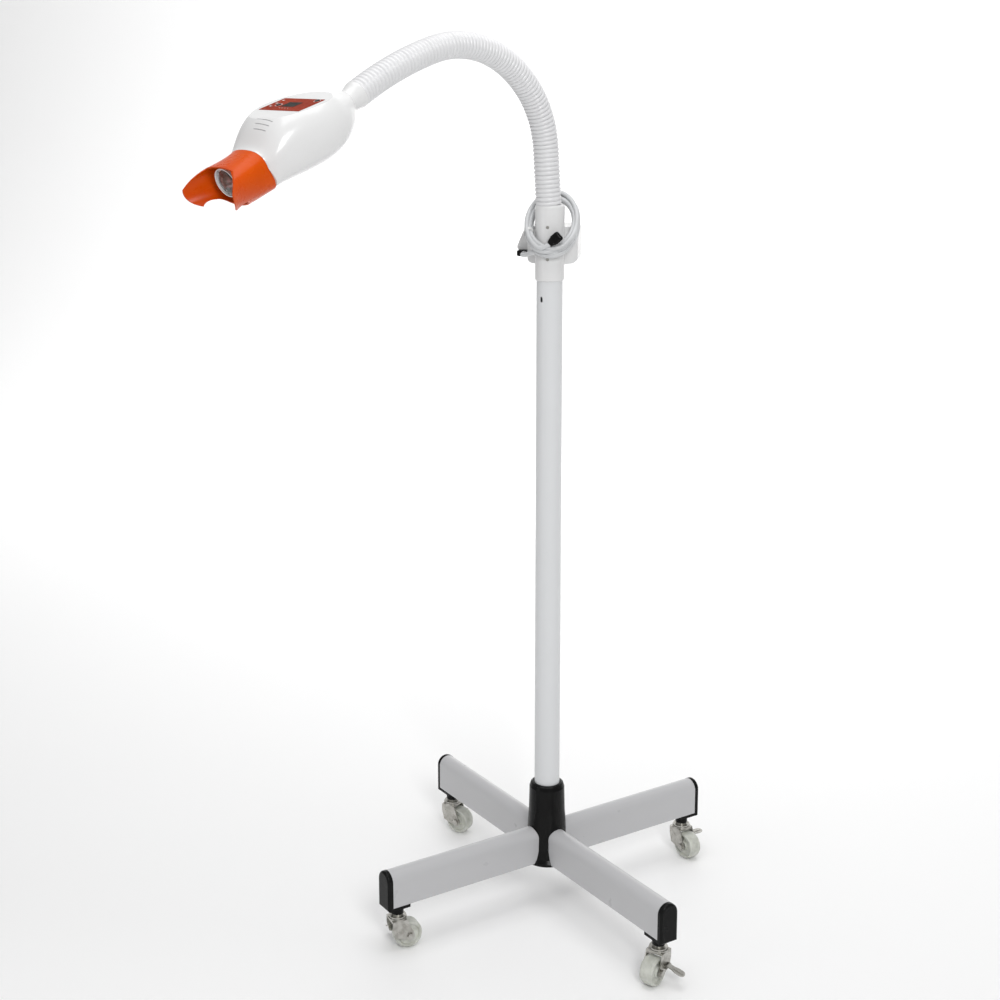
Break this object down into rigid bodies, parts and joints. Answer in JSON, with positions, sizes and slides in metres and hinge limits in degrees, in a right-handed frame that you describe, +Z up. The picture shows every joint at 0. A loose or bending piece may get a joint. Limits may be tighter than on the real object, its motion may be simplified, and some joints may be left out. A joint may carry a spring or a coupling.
{
  "type": "curing light",
  "caption": "Mobile dental curing and whitening light: castor stand, pole, power box with coiled mains cord, gooseneck and lamp head with an orange light guard",
  "frame": {"origin": "on the floor under the pole's axis", "axes": "+Z up the pole; the arms lie at 45 degrees to X and Y; the power box's round front faces -Y"},
  "size_m": [0.5959, 0.776, 1.3277],
  "materials": {
    "white_plastic": "smooth",
    "black_plastic": "smooth",
    "white_enamel": "satin",
    "grey_enamel": "satin",
    "zinc_steel": "brushed",
    "grey_nylon": "satin",
    "orange_plastic": "smooth",
    "orange_film": "smooth",
    "display_black": "smooth",
    "clear_lens": "smooth",
    "board_green": "matte",
    "aluminium": "brushed",
    "foil": "crumpled",
    "cord_grey": "satin",
    "white_hose": "satin",
    "tie_white": "matte"
  },
  "bodies": {
    "stand": {"base_hub": "black_plastic", "pole": "white_enamel", "arm_caps": "black_plastic", "caster_stems": "zinc_steel", "base_arm_front_right": "grey_enamel", "base_arm_rear_right": "grey_enamel", "base_arm_rear_left": "grey_enamel", "base_arm_front_left": "grey_enamel", "housing_body": "white_plastic", "housing_back_cover": "white_plastic", "housing_screws": "zinc_steel", "switch_frame": "black_plastic", "power_board": "board_green", "cord_gland": "black_plastic", "cord_lead": "cord_grey", "cord_coil": "cord_grey", "cord_plug": "black_plastic", "cord_tie": "tie_white", "neck_base": "white_hose"},
    "fork_front_right": {"caster_fork_front_right": "zinc_steel"},
    "wheel_front_right": {"caster_wheel_front_right": "grey_nylon"},
    "brake_front_right": {"brake_lever_front_right": "zinc_steel"},
    "fork_rear_right": {"caster_fork_rear_right": "zinc_steel"},
    "wheel_rear_right": {"caster_wheel_rear_right": "grey_nylon"},
    "brake_rear_right": {"brake_lever_rear_right": "zinc_steel"},
    "fork_rear_left": {"caster_fork_rear_left": "zinc_steel"},
    "wheel_rear_left": {"caster_wheel_rear_left": "grey_nylon"},
    "brake_rear_left": {"brake_lever_rear_left": "zinc_steel"},
    "fork_front_left": {"caster_fork_front_left": "zinc_steel"},
    "wheel_front_left": {"caster_wheel_front_left": "grey_nylon"},
    "brake_front_left": {"brake_lever_front_left": "zinc_steel"},
    "switch_rocker": {"power_switch": "black_plastic"},
    "neck_1": {"neck_segment_1": "white_hose"},
    "neck_2": {"neck_segment_2": "white_hose"},
    "neck_3": {"neck_segment_3": "white_hose"},
    "neck_4": {"neck_segment_4": "white_hose"},
    "neck_5": {"neck_segment_5": "white_hose"},
    "neck_6": {"neck_segment_6": "white_hose"},
    "neck_7": {"neck_segment_7": "white_hose"},
    "neck_8": {"neck_segment_8": "white_hose"},
    "neck_9": {"neck_segment_9": "white_hose"},
    "neck_10": {"neck_segment_10": "white_hose"},
    "neck_11": {"neck_segment_11": "white_hose"},
    "head": {"neck_collar": "white_plastic", "head_shell": "white_plastic", "head_belly_cover": "white_plastic", "nose_ring": "white_plastic", "lens": "clear_lens", "led_board": "board_green", "reflector": "foil", "heat_sink": "aluminium", "fan_frame": "black_plastic", "control_board": "board_green", "control_panel": "orange_film", "display_window": "display_black", "head_screws": "zinc_steel"},
    "shade": {"light_shade": "orange_plastic"},
    "fan": {"fan_rotor": "black_plastic"},
    "button_1": {"panel_button_1": "black_plastic"},
    "button_2": {"panel_button_2": "black_plastic"}
  },
  "joints": [
    {"name": "swivel_front_right", "type": "hinge", "parent": "stand", "child": "fork_front_right", "pos_m": [0.19092, -0.19092, 0.05], "axis": [0, 0, 1], "continuous": true},
    {"name": "spin_front_right", "type": "hinge", "parent": "fork_front_right", "child": "wheel_front_right", "pos_m": [0.18458, -0.20451, 0.021], "axis": [-0.9063, 0.4226, 0], "continuous": true},
    {"name": "press_front_right", "type": "hinge", "parent": "fork_front_right", "child": "brake_front_right", "pos_m": [0.20596, -0.19793, 0.027], "axis": [-0.4226, -0.9063, 0], "range_deg": [-25, 15]},
    {"name": "swivel_rear_right", "type": "hinge", "parent": "stand", "child": "fork_rear_right", "pos_m": [0.19092, 0.19092, 0.05], "axis": [0, 0, 1], "continuous": true},
    {"name": "spin_rear_right", "type": "hinge", "parent": "fork_rear_right", "child": "wheel_rear_right", "pos_m": [0.20207, 0.18088, 0.021], "axis": [-0.6691, -0.7431, 0], "continuous": true},
    {"name": "press_rear_right", "type": "hinge", "parent": "fork_rear_right", "child": "brake_rear_right", "pos_m": [0.20203, 0.20325, 0.027], "axis": [0.7431, -0.6691, 0], "range_deg": [-25, 15]},
    {"name": "swivel_rear_left", "type": "hinge", "parent": "stand", "child": "fork_rear_left", "pos_m": [-0.19092, 0.19092, 0.05], "axis": [0, 0, 1], "continuous": true},
    {"name": "spin_rear_left", "type": "hinge", "parent": "fork_rear_left", "child": "wheel_rear_left", "pos_m": [-0.17682, 0.18579, 0.021], "axis": [-0.342, -0.9397, 0], "continuous": true},
    {"name": "press_rear_left", "type": "hinge", "parent": "fork_rear_left", "child": "brake_rear_left", "pos_m": [-0.18524, 0.20652, 0.027], "axis": [0.9397, -0.342, 0], "range_deg": [-25, 15]},
    {"name": "swivel_front_left", "type": "hinge", "parent": "stand", "child": "fork_front_left", "pos_m": [-0.19092, -0.19092, 0.05], "axis": [0, 0, 1], "continuous": true},
    {"name": "spin_front_left", "type": "hinge", "parent": "fork_front_left", "child": "wheel_front_left", "pos_m": [-0.17878, -0.1821, 0.021], "axis": [0.5878, -0.809, 0], "continuous": true},
    {"name": "press_front_left", "type": "hinge", "parent": "fork_front_left", "child": "brake_front_left", "pos_m": [-0.20068, -0.17749, 0.027], "axis": [0.809, 0.5878, 0], "range_deg": [-25, 15]},
    {"name": "switch_rock", "type": "hinge", "parent": "stand", "child": "switch_rocker", "pos_m": [0, 0.0615, 1.011], "axis": [1, 0, 0], "range_deg": [-9, 9]},
    {"name": "neck_lower_sway", "type": "hinge", "parent": "stand", "child": "neck_1", "pos_m": [-0.00252, -0.00403, 1.10284], "axis": [-0.5281, -0.8452, -0.0819], "range_deg": [-12, 12]},
    {"name": "neck_lower_bend", "type": "hinge", "parent": "neck_1", "child": "neck_2", "pos_m": [-0.00442, -0.00708, 1.14651], "axis": [0.848, -0.5299, 0], "range_deg": [-15, 9]},
    {"name": "neck_bend_3", "type": "hinge", "parent": "neck_2", "child": "neck_3", "pos_m": [-0.00812, -0.013, 1.18966], "axis": [0.848, -0.5299, 0], "range_deg": [-15, 9]},
    {"name": "neck_sway_4", "type": "hinge", "parent": "neck_3", "child": "neck_4", "pos_m": [-0.0182, -0.02913, 1.22896], "axis": [-0.4368, -0.699, -0.5662], "range_deg": [-12, 12]},
    {"name": "neck_bend_5", "type": "hinge", "parent": "neck_4", "child": "neck_5", "pos_m": [-0.03376, -0.05402, 1.26134], "axis": [0.848, -0.5299, 0], "range_deg": [-15, 9]},
    {"name": "neck_bend_6", "type": "hinge", "parent": "neck_5", "child": "neck_6", "pos_m": [-0.05285, -0.08459, 1.28611], "axis": [0.848, -0.5299, 0], "range_deg": [-15, 9]},
    {"name": "neck_upper_sway", "type": "hinge", "parent": "neck_6", "child": "neck_7", "pos_m": [-0.07443, -0.11911, 1.30208], "axis": [-0.1361, -0.2178, -0.9665], "range_deg": [-12, 12]},
    {"name": "neck_upper_bend", "type": "hinge", "parent": "neck_7", "child": "neck_8", "pos_m": [-0.09735, -0.1558, 1.30842], "axis": [0.848, -0.5299, 0], "range_deg": [-15, 9]},
    {"name": "neck_bend_9", "type": "hinge", "parent": "neck_8", "child": "neck_9", "pos_m": [-0.12045, -0.19276, 1.30482], "axis": [0.848, -0.5299, 0], "range_deg": [-15, 9]},
    {"name": "neck_sway_10", "type": "hinge", "parent": "neck_9", "child": "neck_10", "pos_m": [-0.14288, -0.22865, 1.29353], "axis": [0.1575, 0.252, -0.9548], "range_deg": [-12, 12]},
    {"name": "neck_bend_11", "type": "hinge", "parent": "neck_10", "child": "neck_11", "pos_m": [-0.16476, -0.26368, 1.27891], "axis": [0.848, -0.5299, 0], "range_deg": [-15, 9]},
    {"name": "neck_bend_12", "type": "hinge", "parent": "neck_11", "child": "head", "pos_m": [-0.18599, -0.29765, 1.26116], "axis": [0.848, -0.5299, 0], "range_deg": [-15, 9]},
    {"name": "shade_pull", "type": "slide", "parent": "head", "child": "shade", "axis": [-0.4867, -0.7789, -0.3955], "range_m": [0, 0.05]},
    {"name": "fan_spin", "type": "hinge", "parent": "head", "child": "fan", "pos_m": [-0.26769, -0.4284, 1.19119], "axis": [-0.4867, -0.7789, -0.3955], "continuous": true},
    {"name": "button_1_press", "type": "slide", "parent": "head", "child": "button_1", "axis": [0.1416, 0.2266, -0.9636], "range_m": [0, 0.0008], "stiffness_N_per_m": 900},
    {"name": "button_2_press", "type": "slide", "parent": "head", "child": "button_2", "axis": [0.1416, 0.2266, -0.9636], "range_m": [0, 0.0008], "stiffness_N_per_m": 900}
  ],
  "couplings": [
    {"joint": "neck_bend_3", "follows": "neck_lower_bend", "ratio": 1},
    {"joint": "neck_bend_5", "follows": "neck_lower_bend", "ratio": 1},
    {"joint": "neck_bend_6", "follows": "neck_lower_bend", "ratio": 1},
    {"joint": "neck_bend_9", "follows": "neck_upper_bend", "ratio": 1},
    {"joint": "neck_bend_11", "follows": "neck_upper_bend", "ratio": 1},
    {"joint": "neck_bend_12", "follows": "neck_upper_bend", "ratio": 1},
    {"joint": "neck_sway_4", "follows": "neck_lower_sway", "ratio": 1},
    {"joint": "neck_sway_10", "follows": "neck_upper_sway", "ratio": 1}
  ]
}
